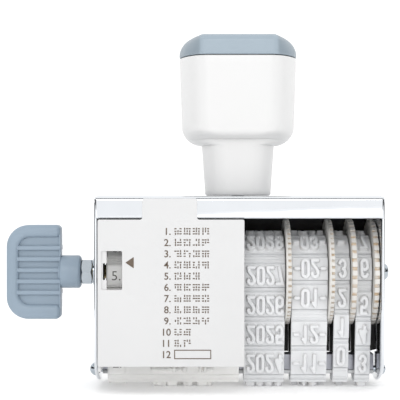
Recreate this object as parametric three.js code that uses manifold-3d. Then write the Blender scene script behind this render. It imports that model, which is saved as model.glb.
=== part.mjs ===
// Rotary date stamp: a chromed frame with a plastic handle, carrying five rubber bands on wheels.
// Millimetres, +Z up. Inside the model, X = 0 is the middle of the frame, Y = 0 is the plane of the
// axle with -Y the front, and Z = 0 is the plane of the printing characters.
import * as THREE from "three";
import { mergeVertices } from "three/addons/utils/BufferGeometryUtils.js";
import Module from "manifold-3d";

const wasm = await Module();
wasm.setup();

// ---------------------------------------------------------------- driving dimensions

const FRAME = {
  halfWidth: 30.65,
  halfDepth: 13,
  plateHalfDepth: 12.05,
  footHalfDepth: 11.2,
  top: 41.35,
  sheet: 0.8,
  bend: 0.95,
  bottom: 1.2,
  frontLipBottom: 36.6,
  backLipBottom: 32.7,
};

const AXLE = { z: 24.8, radius: 1.5, headRadius: 1.85, headEnd: 33.1, left: -44, clearance: 0.12 };

// The crease is where the flat front and back faces meet the round sides.
const HANDLE = {
  neckBottom: 41.45,
  parting: 71.3,
  partingDip: 0.2,
  halfWidth: 12.8,
  halfDepth: 10,
  crease: 8.1,
  shoulder: 72,
  top: 76,
  edgeDrop: 1.6,
  edgeInset: 2.6,
};

const COVER = {
  left: -29.7,
  right: 1.0,
  front: -13.6,
  thickness: 1.0,
  bottom: 5.6,
  top: 36.4,
  wall: 0.6,
  wallDepth: 10,
  window: { left: -28.95, right: -24.6, bottom: 21.7, top: 29.8 },
  tab: { left: -20.4, right: -8.9, thickness: 0.7, top: 40.8 },
};

const KNOB = {
  left: -50.5,
  right: -38.7,
  halfHeight: 10.27,
  halfDepth: 2.7,
  corner: 4.8,
  rim: 2.3,
  recess: 1.0,
  ribs: 5,
  ribWidth: 1.0,
  ribPitch: 2.43,
  collarRadius: 3.6,
  collarEnd: -34.3,
};

const NUT = { left: -34.2, right: -31.8, acrossCorners: 6.0 };
const WASHER = { left: -31.65, right: -31.05, radius: 3.0 };

const BAND = {
  wheelRadius: 7.6,
  thickness: 1.15,
  platenHalf: 2.1,
  platenCorner: 1.3,
  bottom: 1.4,
  plateau: 0.48,
  relief: 0.92,
  indexPad: 0.3,
  measuredAt: 1.2,
  cells: 12,
  firstCell: 8.6,
  cellPitch: 6.5,
  seam: 1.6,
  plateauLength: 5.4,
  characterHeight: 4.3,
  digitWidth: 1.95,
  digitPitch: 2.15,
};

const HUB_RADIUS = 5.8;
const DISC = { radius: 11.5, tooth: 0.45, thickness: 1.25 };
const PLATE_GAP = 0.2;

const PLATEN = {
  barTop: 7.0,
  barBottom: 3.6,
  barHalf: 2.1,
  grooveHalf: 1.35,
  grooveTop: 5.4,
  noseBottom: 2.65,
  noseHalf: 2.0,
  footTop: 3.5,
  tongueHalf: 1.2,
  tongueTop: 5.2,
  halfLength: 29.5,
  rivetZ: 3.5,
  rivetHead: 1.55,
  rivetRise: 1.7,
  rivetShank: 0.7,
  rivetInner: 26,
};

const SCREW = {
  headRadius: 2.7,
  headBottom: 37.9,
  headTop: 39.65,
  washerRadius: 3.7,
  washerTop: 40.45,
  top: 53.3,
  radius: 1.45,
};

const SHIELD = { halfWidth: 29.55, front: 11.75, back: 12.05, bottom: 6, top: 40.3, flange: 3 };

// A row of digits: the middle, width and height of each.
function digits(middle, count) {
  const offset = (i) => (i - (count - 1) / 2) * BAND.digitPitch;
  return Array.from({ length: count }, (_, i) => [middle + offset(i), BAND.digitWidth, BAND.relief]);
}

// Each band: its width along X, the middle, width and height of each raised block in a cell, and how
// many cells stand between the printing cell and the seam, going up the front. The phrase band has a
// low pad for its index number beside the phrase.
const BANDS = [
  {
    name: "phrase",
    left: -28.3,
    right: 0.1,
    raised: [[-26.25, 3.7, BAND.indexPad], [-12.2, 14, BAND.relief]],
    cellsToSeam: 6,
  },
  { name: "year", left: 1.15, right: 9.75, raised: digits(5.45, 4), cellsToSeam: 4 },
  { name: "month", left: 11.35, right: 18.9, raised: digits(15.1, 2), cellsToSeam: 2 },
  { name: "tens", left: 20.5, right: 23.6, raised: digits(22.05, 1), cellsToSeam: 0 },
  { name: "units", left: 25.2, right: 28.3, raised: digits(26.75, 1), cellsToSeam: 3 },
];

// Teeth of each date wheel's thumb disc; the disc stands just right of its band.
const DISC_TEETH = { year: 54, month: 54, tens: 39, units: 39 };
const DISC_SETBACK = 0.15;

// ---------------------------------------------------------------- materials

const finish = (color, roughness, metalness = 0) => ({ color, roughness, metalness });
const CHROME = finish(0xd8dde2, 0.15, 1);
const STEEL = finish(0xb4bcc4, 0.3, 1);
const BRASS = finish(0xb59a5a, 0.35, 1);
const WHITE_PLASTIC = finish(0xf3f3f2, 0.35);
const GREY_PLASTIC = finish(0xa9b9c6, 0.4);
const CREAM_PLASTIC = finish(0xe6e3da, 0.5);
const RUBBER = finish(0xd4d8db, 0.75);
const BLACK_STEEL = finish(0x26282a, 0.55);

// ---------------------------------------------------------------- making and joining solids

const alongX = new THREE.Matrix4().makeBasis(
  new THREE.Vector3(0, 1, 0),
  new THREE.Vector3(0, 0, 1),
  new THREE.Vector3(1, 0, 0),
);
const alongY = new THREE.Matrix4().makeBasis(
  new THREE.Vector3(1, 0, 0),
  new THREE.Vector3(0, 0, 1),
  new THREE.Vector3(0, -1, 0),
);

function solidOf(geometry) {
  const bare = geometry.clone();
  bare.deleteAttribute("normal");
  bare.deleteAttribute("uv");
  const merged = mergeVertices(bare, 1e-4);
  return new wasm.Manifold(
    new wasm.Mesh({
      numProp: 3,
      vertProperties: merged.attributes.position.array,
      triVerts: new Uint32Array(merged.index.array),
    }),
  );
}

function joined(geometries) {
  return geometries.map(solidOf).reduce((whole, piece) => whole.add(piece));
}

function cutBy(solid, geometries) {
  return geometries.map(solidOf).reduce((whole, piece) => whole.subtract(piece), solid);
}

function geometryOf(solid) {
  const mesh = solid.getMesh();
  const geometry = new THREE.BufferGeometry();
  geometry.setAttribute("position", new THREE.BufferAttribute(mesh.vertProperties, 3));
  geometry.setIndex(new THREE.BufferAttribute(mesh.triVerts, 1));
  geometry.computeVertexNormals();
  return geometry;
}

function block(x0, x1, y0, y1, z0, z1) {
  const geometry = new THREE.BoxGeometry(x1 - x0, y1 - y0, z1 - z0);
  return geometry.translate((x0 + x1) / 2, (y0 + y1) / 2, (z0 + z1) / 2);
}

// A bar of the given (y, z) outline from x0 to x1.
function extrudeX(outline, x0, x1, curveSegments = 8) {
  const options = { depth: x1 - x0, bevelEnabled: false, curveSegments };
  return new THREE.ExtrudeGeometry(outline, options).applyMatrix4(alongX).translate(x0, 0, 0);
}

// A bar of the given (x, z) outline from y0 to y1.
function extrudeY(outline, y0, y1, curveSegments = 8) {
  const options = { depth: y1 - y0, bevelEnabled: false, curveSegments };
  return new THREE.ExtrudeGeometry(outline, options).applyMatrix4(alongY).translate(0, y1, 0);
}

// A turned piece about a line along X at height z; the profile lists [x, radius] from left to right.
function turnedX(profile, z, segments = 32) {
  const points = profile.map(([x, radius]) => new THREE.Vector2(radius, -x));
  const geometry = new THREE.LatheGeometry(points.reverse(), segments);
  return geometry.rotateZ(Math.PI / 2).translate(0, 0, z);
}

function rodX(radius, x0, x1, z, segments = 24) {
  return turnedX([[x0, 0], [x0, radius], [x1, radius], [x1, 0]], z, segments);
}

function rodZ(radius, z0, z1, segments = 24) {
  const geometry = new THREE.CylinderGeometry(radius, radius, z1 - z0, segments);
  return geometry.rotateX(Math.PI / 2).translate(0, 0, (z0 + z1) / 2);
}

const stamp = new THREE.Group();

function addPiece(name, shape, look) {
  const geometry = shape.isBufferGeometry ? shape : geometryOf(shape);
  const mesh = new THREE.Mesh(geometry, new THREE.MeshStandardMaterial(look));
  mesh.name = name;
  stamp.add(mesh);
}

// ---------------------------------------------------------------- frame

// The sheet bent down at both sides, seen from the front.
function bentSheetOutline() {
  const { halfWidth: w, top, sheet, bend, bottom } = FRAME;
  const inner = bend - sheet;
  const outline = new THREE.Shape();
  outline.moveTo(-w, bottom - 1);
  outline.lineTo(-w + sheet, bottom - 1);
  outline.lineTo(-w + sheet, top - bend);
  outline.absarc(-w + bend, top - bend, inner, Math.PI, Math.PI / 2, true);
  outline.absarc(w - bend, top - bend, inner, Math.PI / 2, 0, true);
  outline.lineTo(w - sheet, bottom - 1);
  outline.lineTo(w, bottom - 1);
  outline.lineTo(w, top - bend);
  outline.absarc(w - bend, top - bend, bend, 0, Math.PI / 2, false);
  outline.absarc(-w + bend, top - bend, bend, Math.PI / 2, Math.PI, false);
  outline.closePath();
  return outline;
}

// A side plate seen from the side: slightly tapered, with a round bottom.
function sidePlateOutline() {
  const { plateHalfDepth: d, footHalfDepth: foot, top, bend, bottom } = FRAME;
  const cornerZ = bottom + 6.2;
  const curveZ = bottom + 2.1;
  const curveY = foot - 3;
  const outline = new THREE.Shape();
  outline.moveTo(-d, top - bend);
  outline.lineTo(-foot, cornerZ);
  outline.quadraticCurveTo(-foot + 0.3, curveZ + 1, -curveY, curveZ);
  outline.quadraticCurveTo(0, 2 * bottom - curveZ, curveY, curveZ);
  outline.quadraticCurveTo(foot - 0.3, curveZ + 1, foot, cornerZ);
  outline.lineTo(d, top - bend);
  outline.absarc(d - bend, top - bend, bend, 0, Math.PI / 2, false);
  outline.absarc(-d + bend, top - bend, bend, Math.PI / 2, Math.PI, false);
  return outline;
}

// The top plate with its two lips, seen from the side.
function lippedTopOutline() {
  const { halfDepth: d, top, sheet, bend, frontLipBottom, backLipBottom } = FRAME;
  const inner = bend - sheet;
  const outline = new THREE.Shape();
  outline.moveTo(-d, frontLipBottom);
  outline.lineTo(-d + sheet, frontLipBottom);
  outline.absarc(-d + bend, top - bend, inner, Math.PI, Math.PI / 2, true);
  outline.absarc(d - bend, top - bend, inner, Math.PI / 2, 0, true);
  outline.lineTo(d - sheet, backLipBottom);
  outline.lineTo(d, backLipBottom);
  outline.absarc(d - bend, top - bend, bend, 0, Math.PI / 2, false);
  outline.absarc(-d + bend, top - bend, bend, Math.PI / 2, Math.PI, false);
  outline.closePath();
  return outline;
}

function makeFrame() {
  const { halfWidth: w, halfDepth: d } = FRAME;
  const lipInset = 0.25;
  const bent = solidOf(extrudeY(bentSheetOutline(), -d - 1, d + 1, 5));
  const sides = bent.intersect(solidOf(extrudeX(sidePlateOutline(), -w - 1, w + 1, 8)));
  const lipEnd = w - lipInset;
  const whole = sides.add(solidOf(extrudeX(lippedTopOutline(), -lipEnd, lipEnd, 5)));
  const holes = [
    rodX(AXLE.radius + AXLE.clearance, -w - 1, w + 1, AXLE.z),
    rodX(PLATEN.rivetShank + AXLE.clearance, -w - 1, w + 1, PLATEN.rivetZ, 16),
    rodZ(SCREW.radius + 0.2, FRAME.top - 2, FRAME.top + 1),
  ];
  addPiece("frame", cutBy(whole, holes), CHROME);
}

// ---------------------------------------------------------------- handle

const SIDE_STEPS = 8;

// A ring of the handle at height z: flat front and back faces, and round sides from crease to crease.
// The ring dips towards the sides by the given amount.
function handleRing(z, halfWidth, halfDepth, crease, dip = 0) {
  const bulge = halfWidth - crease;
  const radius = (halfDepth ** 2 + bulge ** 2) / (2 * bulge);
  const sweep = Math.asin(halfDepth / radius);
  const centre = halfWidth - radius;
  const side = [];
  for (let i = 0; i <= SIDE_STEPS; i += 1) {
    const angle = -sweep + (2 * sweep * i) / SIDE_STEPS;
    side.push([centre + radius * Math.cos(angle), radius * Math.sin(angle)]);
  }
  const ring = side.concat(side.map(([x, y]) => [-x, -y]));
  const lowered = (x) => z - dip * Math.max(0, (Math.abs(x) - crease) / bulge);
  return ring.map(([x, y]) => new THREE.Vector3(x, y, lowered(x)));
}

// A closed skin over rings of equally many points, listed from the bottom up.
function loft(rings) {
  const count = rings[0].length;
  const points = rings.flat();
  const index = [];
  for (let level = 0; level + 1 < rings.length; level += 1) {
    for (let i = 0; i < count; i += 1) {
      const next = (i + 1) % count;
      const a = level * count + i;
      const b = level * count + next;
      index.push(a, b, b + count, a, b + count, a + count);
    }
  }
  for (const [level, turn] of [[0, -1], [rings.length - 1, 1]]) {
    const middle = points.length;
    points.push(rings[level].reduce((sum, p) => sum.add(p), new THREE.Vector3()).divideScalar(count));
    for (let i = 0; i < count; i += 1) {
      const a = level * count + i;
      const b = level * count + ((i + 1) % count);
      index.push(...(turn > 0 ? [a, b, middle] : [b, a, middle]));
    }
  }
  const geometry = new THREE.BufferGeometry().setFromPoints(points);
  geometry.setIndex(index);
  return geometry;
}

function makeHandle() {
  const { neckBottom, parting, partingDip, halfWidth, halfDepth, crease } = HANDLE;
  const rings = [
    handleRing(neckBottom, 7.15, 6.4, 3.6),
    handleRing(45, 7.36, 6.5, 3.8),
    handleRing(52.3, 7.85, 7.0, 4.2),
    handleRing(52.6, 9.5, 7.0, 4.2),
    handleRing(53.3, 10.7, 7.1, 4.2),
    handleRing(54.2, 11.5, 9.0, 4.35),
    handleRing(55.1, 12.0, 9.75, 6.2),
    handleRing(56, 12.25, 9.85, 7.3),
    handleRing(57.1, 12.3, 9.9, 8.0),
    handleRing(66.8, 12.6, halfDepth, crease),
    handleRing(parting, halfWidth, halfDepth, crease, partingDip),
  ];
  const socket = block(-7, 7, -8, 8, parting - 6, parting + 1);
  const screwBore = rodZ(SCREW.radius + AXLE.clearance, neckBottom - 1, SCREW.top + 1);
  addPiece("handle", cutBy(solidOf(loft(rings)), [socket, screwBore]), WHITE_PLASTIC);
}

// The shoulders are quarter ellipses seen from the front, and the front and back edges round off
// more tightly into the top.
function makeHandleCap() {
  const { parting, partingDip, halfWidth, halfDepth, crease, shoulder, top } = HANDLE;
  const { edgeDrop, edgeInset } = HANDLE;
  const rings = [
    handleRing(parting + 0.1, halfWidth, halfDepth, crease, partingDip),
    handleRing(shoulder, halfWidth, halfDepth, crease),
  ];
  const steps = 10;
  for (let i = 1; i <= steps; i += 1) {
    const angle = (i / steps) * Math.acos(0.05);
    const z = shoulder + (top - shoulder) * Math.sin(angle);
    const reach = crease + (halfWidth - crease) * Math.cos(angle);
    const past = Math.max(0, (z - (top - edgeDrop)) / edgeDrop);
    const inset = edgeInset * (1 - Math.sqrt(1 - past ** 2));
    rings.push(handleRing(z, reach, halfDepth - inset, crease - inset / 5));
  }
  const plug = block(-6.7, 6.7, -7.7, 7.7, parting - 4, parting + 1);
  addPiece("handle_cap", solidOf(loft(rings)).add(solidOf(plug)), GREY_PLASTIC);
}

function makeHandleScrew() {
  const { headRadius, headBottom, headTop, washerRadius, washerTop, top, radius } = SCREW;
  const head = rodZ(headRadius, headBottom, headTop, 20);
  const shank = rodZ(radius, headTop - 1, top, 20);
  const slot = block(-headRadius - 1, headRadius + 1, -0.4, 0.4, headBottom - 1, headBottom + 0.7);
  addPiece("handle_screw", cutBy(joined([head, shank]), [slot]), STEEL);
  const washer = solidOf(rodZ(washerRadius, headTop + 0.1, washerTop, 24));
  addPiece("handle_washer", cutBy(washer, [rodZ(radius + 0.2, headTop - 1, washerTop + 1)]), STEEL);
}

// ---------------------------------------------------------------- front cover

function makeFrontCover() {
  const { left, right, front, thickness, bottom, top, wall, wallDepth, window, tab } = COVER;
  const back = front + thickness;
  const tabBack = -FRAME.halfDepth - 0.15;
  const tabFront = tabBack - tab.thickness;
  const plate = block(left, right, front, back, bottom, top);
  const leftWall = block(left, left + wall, front, front + wallDepth, bottom - 1.2, top);
  const rightWall = block(right - wall, right, front, front + 4, bottom, top - 0.6);
  const tabFace = block(tab.left, tab.right, tabFront, tabBack, top - 1, tab.top);
  const holes = [
    block(window.left, window.right, front - 1, back + 1, window.bottom, window.top),
    block(left - 1, left + wall + 0.2, -2.2 + front / 2, 1, AXLE.z - 2, AXLE.z + 2),
  ];
  const whole = joined([plate, leftWall, rightWall, tabFace]);
  addPiece("front_cover", cutBy(whole, holes), WHITE_PLASTIC);
}

// ---------------------------------------------------------------- rear shield

// A thin sheet closing the back between the side plates, with a flange under the top plate.
function makeRearShield() {
  const { halfWidth, front, back, bottom, top, flange } = SHIELD;
  const sheet = block(-halfWidth, halfWidth, front, back, bottom, top);
  const fold = block(-halfWidth, halfWidth, back - flange, back, top - (back - front), top);
  addPiece("rear_shield", joined([sheet, fold]), BLACK_STEEL);
}

// ---------------------------------------------------------------- axle, knob and fastenings

function makeAxle() {
  const { z, radius, headRadius, headEnd, left } = AXLE;
  const headStart = FRAME.halfWidth + PLATE_GAP;
  const profile = [
    [left, 0],
    [left, radius - 0.3],
    [left + 0.3, radius],
    [headStart, radius],
    [headStart, headRadius],
    [headStart + 1.1, headRadius],
    [headEnd - 0.5, headRadius * 0.75],
    [headEnd, headRadius * 0.3],
    [headEnd, 0],
  ];
  addPiece("axle_rod", turnedX(profile, z, 24), BRASS);
}

// The knob's face seen from the front: square on the side of the collar, round on the other.
function knobOutline(inset, corner) {
  const left = KNOB.left + inset;
  const high = AXLE.z + KNOB.halfHeight - inset;
  const low = AXLE.z - KNOB.halfHeight + inset;
  const outline = new THREE.Shape();
  outline.moveTo(KNOB.right, low);
  outline.lineTo(KNOB.right, high);
  outline.absarc(left + corner, high - corner, corner, Math.PI / 2, Math.PI, false);
  outline.absarc(left + corner, low + corner, corner, Math.PI, 1.5 * Math.PI, false);
  outline.closePath();
  return outline;
}

function makeKnob() {
  const { left, right, halfDepth, corner, rim, recess, ribs, ribWidth, ribPitch } = KNOB;
  const grip = solidOf(extrudeY(knobOutline(0, corner), -halfDepth, halfDepth, 8));
  const pocketOutline = knobOutline(rim, corner - rim);
  const floor = halfDepth - recess;
  const pockets = [
    extrudeY(pocketOutline, -halfDepth - 1, -floor, 6),
    extrudeY(pocketOutline, floor, halfDepth + 1, 6),
  ];
  let solid = cutBy(grip, pockets.map((pocket) => pocket.translate(0.6, 0, 0)));
  for (let i = 0; i < ribs; i += 1) {
    const z = AXLE.z + (i - (ribs - 1) / 2) * ribPitch;
    const [ribBottom, ribTop] = [z - ribWidth / 2, z + ribWidth / 2];
    const rib = block(left + rim / 2, right, 0.2 - halfDepth, halfDepth - 0.2, ribBottom, ribTop);
    solid = solid.add(solidOf(rib));
  }
  const { collarRadius, collarEnd } = KNOB;
  const collar = turnedX(
    [
      [right - 1, 0],
      [right - 1, collarRadius - 0.9],
      [right, collarRadius],
      [collarEnd - 0.4, collarRadius],
      [collarEnd, collarRadius - 0.4],
      [collarEnd, 0],
    ],
    AXLE.z,
  );
  const bore = rodX(AXLE.radius + AXLE.clearance, AXLE.left - 0.3, collarEnd + 1, AXLE.z);
  addPiece("knob", cutBy(solid.add(solidOf(collar)), [bore]), GREY_PLASTIC);
}

function makeKnobFastenings() {
  const bore = rodX(AXLE.radius + AXLE.clearance, NUT.left - 1, WASHER.right + 1, AXLE.z);
  const nut = rodX(NUT.acrossCorners / 2, NUT.left, NUT.right, AXLE.z, 6);
  addPiece("knob_nut", cutBy(solidOf(nut), [bore]), STEEL);
  const washer = rodX(WASHER.radius, WASHER.left, WASHER.right, AXLE.z, 28);
  addPiece("knob_washer", cutBy(solidOf(washer), [bore]), STEEL);
}

// ---------------------------------------------------------------- wheels

function makePhraseWheel() {
  const band = BANDS[0];
  const core = rodX(HUB_RADIUS, band.left + 0.3, band.right - 0.2, AXLE.z, 48);
  const bore = rodX(AXLE.radius + AXLE.clearance, band.left - 1, band.right + 1, AXLE.z);
  addPiece("phrase_wheel", cutBy(solidOf(core), [bore]), CREAM_PLASTIC);
}

// A thumb disc with square teeth round its rim, seen along the axle.
function discOutline(teeth) {
  const outline = new THREE.Shape();
  const step = (2 * Math.PI) / teeth;
  for (let i = 0; i < teeth; i += 1) {
    for (const [share, radius] of [
      [0, DISC.radius - DISC.tooth],
      [0.06, DISC.radius],
      [0.5, DISC.radius],
      [0.56, DISC.radius - DISC.tooth],
    ]) {
      const angle = (i + share) * step;
      const y = radius * Math.cos(angle);
      const z = AXLE.z + radius * Math.sin(angle);
      if (i === 0 && share === 0) {
        outline.moveTo(y, z);
      } else {
        outline.lineTo(y, z);
      }
    }
  }
  outline.closePath();
  return outline;
}

function makeDateWheel(band) {
  const discLeft = band.right + DISC_SETBACK;
  const discRight = discLeft + DISC.thickness;
  const disc = extrudeX(discOutline(DISC_TEETH[band.name]), discLeft, discRight);
  const hub = rodX(HUB_RADIUS, band.left + 0.05, discLeft + 0.2, AXLE.z, 48);
  const bore = rodX(AXLE.radius + AXLE.clearance, band.left - 1, discRight + 1, AXLE.z);
  addPiece(`${band.name}_wheel`, cutBy(joined([disc, hub]), [bore]), CREAM_PLASTIC);
}

// ---------------------------------------------------------------- bands

// The loop that a band follows: over the wheel, down the back, under the platen and up the front.
// point(s, lift) is the (y, z) at distance s along the loop, raised by lift from the face of the
// base. Distances are measured at the height measuredAt above that face.
// s = 0 is the middle of the printing run, and s grows towards the front. turns lists the distances
// at which the loop bends: the ends of its straight runs and the steps round its arcs.
const LOOP = (() => {
  const { wheelRadius: R, platenHalf, platenCorner: r, bottom, measuredAt } = BAND;
  const cornerZ = bottom + r;
  const rise = AXLE.z - cornerZ;
  const span = Math.hypot(platenHalf, rise);
  const droop = Math.asin((R - r) / span) - Math.atan2(platenHalf, rise);
  const straight = Math.sqrt(span ** 2 - (R - r) ** 2);
  const cornerLength = (r + measuredAt) * (Math.PI / 2 - droop);
  const straightStart = platenHalf + cornerLength;
  const wheelStart = straightStart + straight;
  const half = wheelStart + (R + measuredAt) * (Math.PI / 2 + droop);

  function frontPoint(s, lift) {
    if (s <= platenHalf) {
      return [-s, bottom - lift];
    }
    if (s <= straightStart) {
      const angle = -Math.PI / 2 + (s - platenHalf) / (r + measuredAt);
      return [-platenHalf - (r + lift) * Math.cos(angle), cornerZ + (r + lift) * Math.sin(angle)];
    }
    if (s <= wheelStart) {
      const along = s - straightStart;
      const y = -platenHalf - (r + lift) * Math.cos(droop) - along * Math.sin(droop);
      return [y, cornerZ - (r + lift) * Math.sin(droop) + along * Math.cos(droop)];
    }
    const angle = -droop + (s - wheelStart) / (R + measuredAt);
    return [-(R + lift) * Math.cos(angle), AXLE.z + (R + lift) * Math.sin(angle)];
  }

  function point(s, lift) {
    const wrapped = s - 2 * half * Math.round(s / (2 * half));
    const [y, z] = frontPoint(Math.abs(wrapped), lift);
    return [wrapped < 0 ? -y : y, z];
  }

  const cornerSteps = 3;
  const wheelSteps = 10;
  const front = [];
  for (let i = 0; i <= cornerSteps; i += 1) {
    front.push(platenHalf + (cornerLength * i) / cornerSteps);
  }
  for (let i = 0; i < wheelSteps; i += 1) {
    front.push(wheelStart + ((half - wheelStart) * i) / wheelSteps);
  }
  const turns = [...front, half, ...front.map((s) => 2 * half - s).reverse()];
  return { length: 2 * half, point, turns };
})();

// The given distances along the loop, with every bend of the loop between them.
function stations(from, to) {
  const margin = 0.1;
  const around = [-LOOP.length, 0, LOOP.length].flatMap((lap) => LOOP.turns.map((s) => s + lap));
  return [from, ...around.filter((s) => s > from + margin && s < to - margin), to];
}

// Distances along the loop of the middle of each cell, from the printing cell up the front. The
// grooves beside the printing cell open up where the band bends round the platen.
function cellCentres(band) {
  const centres = [0];
  for (let i = 1; i < BAND.cells; i += 1) {
    const plain = BAND.firstCell + (i - 1) * BAND.cellPitch;
    centres.push(plain + (i > band.cellsToSeam ? BAND.seam : 0));
  }
  return centres;
}

function loopOutline(stations) {
  const shape = new THREE.Shape();
  stations.forEach(([s, lift], i) => {
    const [y, z] = LOOP.point(s, lift);
    if (i === 0) {
      shape.moveTo(y, z);
    } else {
      shape.lineTo(y, z);
    }
  });
  shape.closePath();
  return shape;
}

// A raised step over the stretch of the loop within half of s, between two heights, from x0 to x1.
function raisedStep(s, half, rootLift, faceLift, x0, x1) {
  const along = stations(s - half, s + half);
  const face = along.map((t) => [t, faceLift]);
  const root = along.map((t) => [t, rootLift]).reverse();
  return solidOf(extrudeX(loopOutline([...face, ...root]), x0, x1));
}

function makeBand(band) {
  const { plateau, thickness, plateauLength, characterHeight } = BAND;
  const bite = 0.25;
  const outside = loopOutline(LOOP.turns.map((s) => [s, 0]));
  const inside = loopOutline(LOOP.turns.map((s) => [s, -thickness]));
  const core = extrudeX(inside, band.left - 1, band.right + 1);
  let solid = cutBy(solidOf(extrudeX(outside, band.left, band.right)), [core]);
  for (const centre of cellCentres(band)) {
    solid = solid.add(raisedStep(centre, plateauLength / 2, -bite, plateau, band.left, band.right));
    for (const [middle, width, height] of band.raised) {
      const [x0, x1] = [middle - width / 2, middle + width / 2];
      solid = solid.add(raisedStep(centre, characterHeight / 2, plateau - bite, plateau + height, x0, x1));
    }
  }
  addPiece(`${band.name}_band`, solid, RUBBER);
}

// ---------------------------------------------------------------- platen

function makePlaten() {
  const { barTop, barBottom, barHalf, grooveHalf, grooveTop, halfLength } = PLATEN;
  const bar = solidOf(block(-halfLength, halfLength, -barHalf, barHalf, barBottom, barTop));
  const groove = block(-halfLength - 1, halfLength + 1, -grooveHalf, grooveHalf, barBottom - 1, grooveTop);
  addPiece("platen_bar", cutBy(bar, [groove]), CHROME);

  const { noseBottom, noseHalf, footTop, tongueHalf, tongueTop, rivetZ, rivetShank, rivetInner } = PLATEN;
  const foot = block(-halfLength, halfLength, -noseHalf, noseHalf, noseBottom, footTop);
  const tongue = block(-halfLength, halfLength, -tongueHalf, tongueHalf, footTop - 0.2, tongueTop);
  const bores = [
    rodX(rivetShank + 0.1, rivetInner - 0.3, halfLength + 1, rivetZ, 16),
    rodX(rivetShank + 0.1, -halfLength - 1, 0.3 - rivetInner, rivetZ, 16),
  ];
  addPiece("platen_nose", cutBy(joined([foot, tongue]), bores), WHITE_PLASTIC);

  const { rivetHead, rivetRise } = PLATEN;
  const headStart = FRAME.halfWidth + 0.1;
  const dome = [0, 0.3, 0.6, 0.85, 1].map((share) => {
    const angle = (share * Math.PI) / 2;
    return [headStart + rivetRise * Math.sin(angle), rivetHead * Math.cos(angle)];
  });
  dome[dome.length - 1][1] = 0;
  const profile = [[rivetInner, 0], [rivetInner, rivetShank], [headStart, rivetShank], ...dome];
  addPiece("platen_rivet_right", turnedX(profile, rivetZ, 20), STEEL);
  const mirrored = profile.map(([x, radius]) => [-x, radius]).reverse();
  addPiece("platen_rivet_left", turnedX(mirrored, rivetZ, 20), STEEL);
}

// ---------------------------------------------------------------- the whole stamp

makeFrame();
makeHandle();
makeHandleCap();
makeHandleScrew();
makeFrontCover();
makeRearShield();
makeAxle();
makeKnob();
makeKnobFastenings();
makePhraseWheel();
BANDS.slice(1).forEach(makeDateWheel);
BANDS.forEach(makeBand);
makePlaten();

// The part's origin is the middle of the bottom of its bounding box.
const extent = new THREE.Box3().setFromObject(stamp);
const middle = extent.getCenter(new THREE.Vector3());
stamp.position.set(-middle.x, -middle.y, -extent.min.z);

export default stamp;
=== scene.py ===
"""Rotary date stamp: the camera, the light, the materials and the detailed pieces of the visual model.

Shapes are worked out in millimetres in the model's own frame (+Z up, -Y the front) and become metres
in make_piece(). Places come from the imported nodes' boxes; MIDDLE_X and AXIS_Y stand for the middle of
the frame and the plane of the axle.
"""
import math

import bmesh
import bpy
import numpy as np
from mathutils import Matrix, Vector


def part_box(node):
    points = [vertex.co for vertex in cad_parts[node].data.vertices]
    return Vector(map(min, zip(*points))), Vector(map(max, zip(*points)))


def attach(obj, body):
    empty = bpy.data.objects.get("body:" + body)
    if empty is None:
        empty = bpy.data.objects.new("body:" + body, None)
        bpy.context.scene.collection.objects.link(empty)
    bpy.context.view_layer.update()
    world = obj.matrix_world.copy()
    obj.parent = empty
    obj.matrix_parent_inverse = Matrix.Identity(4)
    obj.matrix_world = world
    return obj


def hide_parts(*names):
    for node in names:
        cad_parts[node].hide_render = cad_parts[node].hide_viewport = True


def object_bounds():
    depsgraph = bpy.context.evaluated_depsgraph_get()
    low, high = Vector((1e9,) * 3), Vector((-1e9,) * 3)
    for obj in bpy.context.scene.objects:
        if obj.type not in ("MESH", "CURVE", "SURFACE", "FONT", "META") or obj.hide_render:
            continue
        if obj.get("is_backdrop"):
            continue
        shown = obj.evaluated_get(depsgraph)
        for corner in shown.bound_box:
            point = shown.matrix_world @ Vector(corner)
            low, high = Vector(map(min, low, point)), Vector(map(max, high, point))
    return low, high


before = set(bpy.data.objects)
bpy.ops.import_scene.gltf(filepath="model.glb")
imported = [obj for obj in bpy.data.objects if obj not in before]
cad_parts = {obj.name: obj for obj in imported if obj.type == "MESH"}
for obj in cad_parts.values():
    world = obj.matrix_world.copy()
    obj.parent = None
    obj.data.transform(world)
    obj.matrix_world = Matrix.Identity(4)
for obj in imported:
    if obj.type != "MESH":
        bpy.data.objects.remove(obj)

CAD_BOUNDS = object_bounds()
MM = 0.001
RIGHT_ANGLE = math.pi / 2


# ---------------- places taken from the frame

class Box:
    """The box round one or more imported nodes, in millimetres."""

    def __init__(self, *nodes):
        corners = [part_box(node) for node in nodes]
        low = [min(corner[0][axis] for corner in corners) / MM for axis in range(3)]
        high = [max(corner[1][axis] for corner in corners) / MM for axis in range(3)]
        self.left, self.front, self.bottom = low
        self.right, self.back, self.top = high


FRAME = Box("frame")
MIDDLE_X = (FRAME.left + FRAME.right) / 2
AXIS_Y = (FRAME.front + FRAME.back) / 2
AXLE = Box("axle_rod")
AXIS_Z = (AXLE.bottom + AXLE.top) / 2
COVER = Box("front_cover")
CAP = Box("handle_cap")
SHIELD = Box("rear_shield")
KNOB = Box("knob")
BAR = Box("platen_bar")
NOSE = Box("platen_nose")


# ---------------- shapes: points and faces

class Shape:
    """Points in millimetres and faces, gathered shell by shell."""

    def __init__(self):
        self.points = []
        self.faces = []

    def add(self, points, faces):
        start = len(self.points)
        self.points.extend(tuple(point) for point in points)
        self.faces.extend(tuple(start + i for i in face) for face in faces)
        return self

    def moved(self, change):
        """This shape with every point passed through change(x, y, z)."""
        self.points = [change(*point) for point in self.points]
        return self

    def joined(self, other):
        return self.add(other.points, other.faces)


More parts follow.
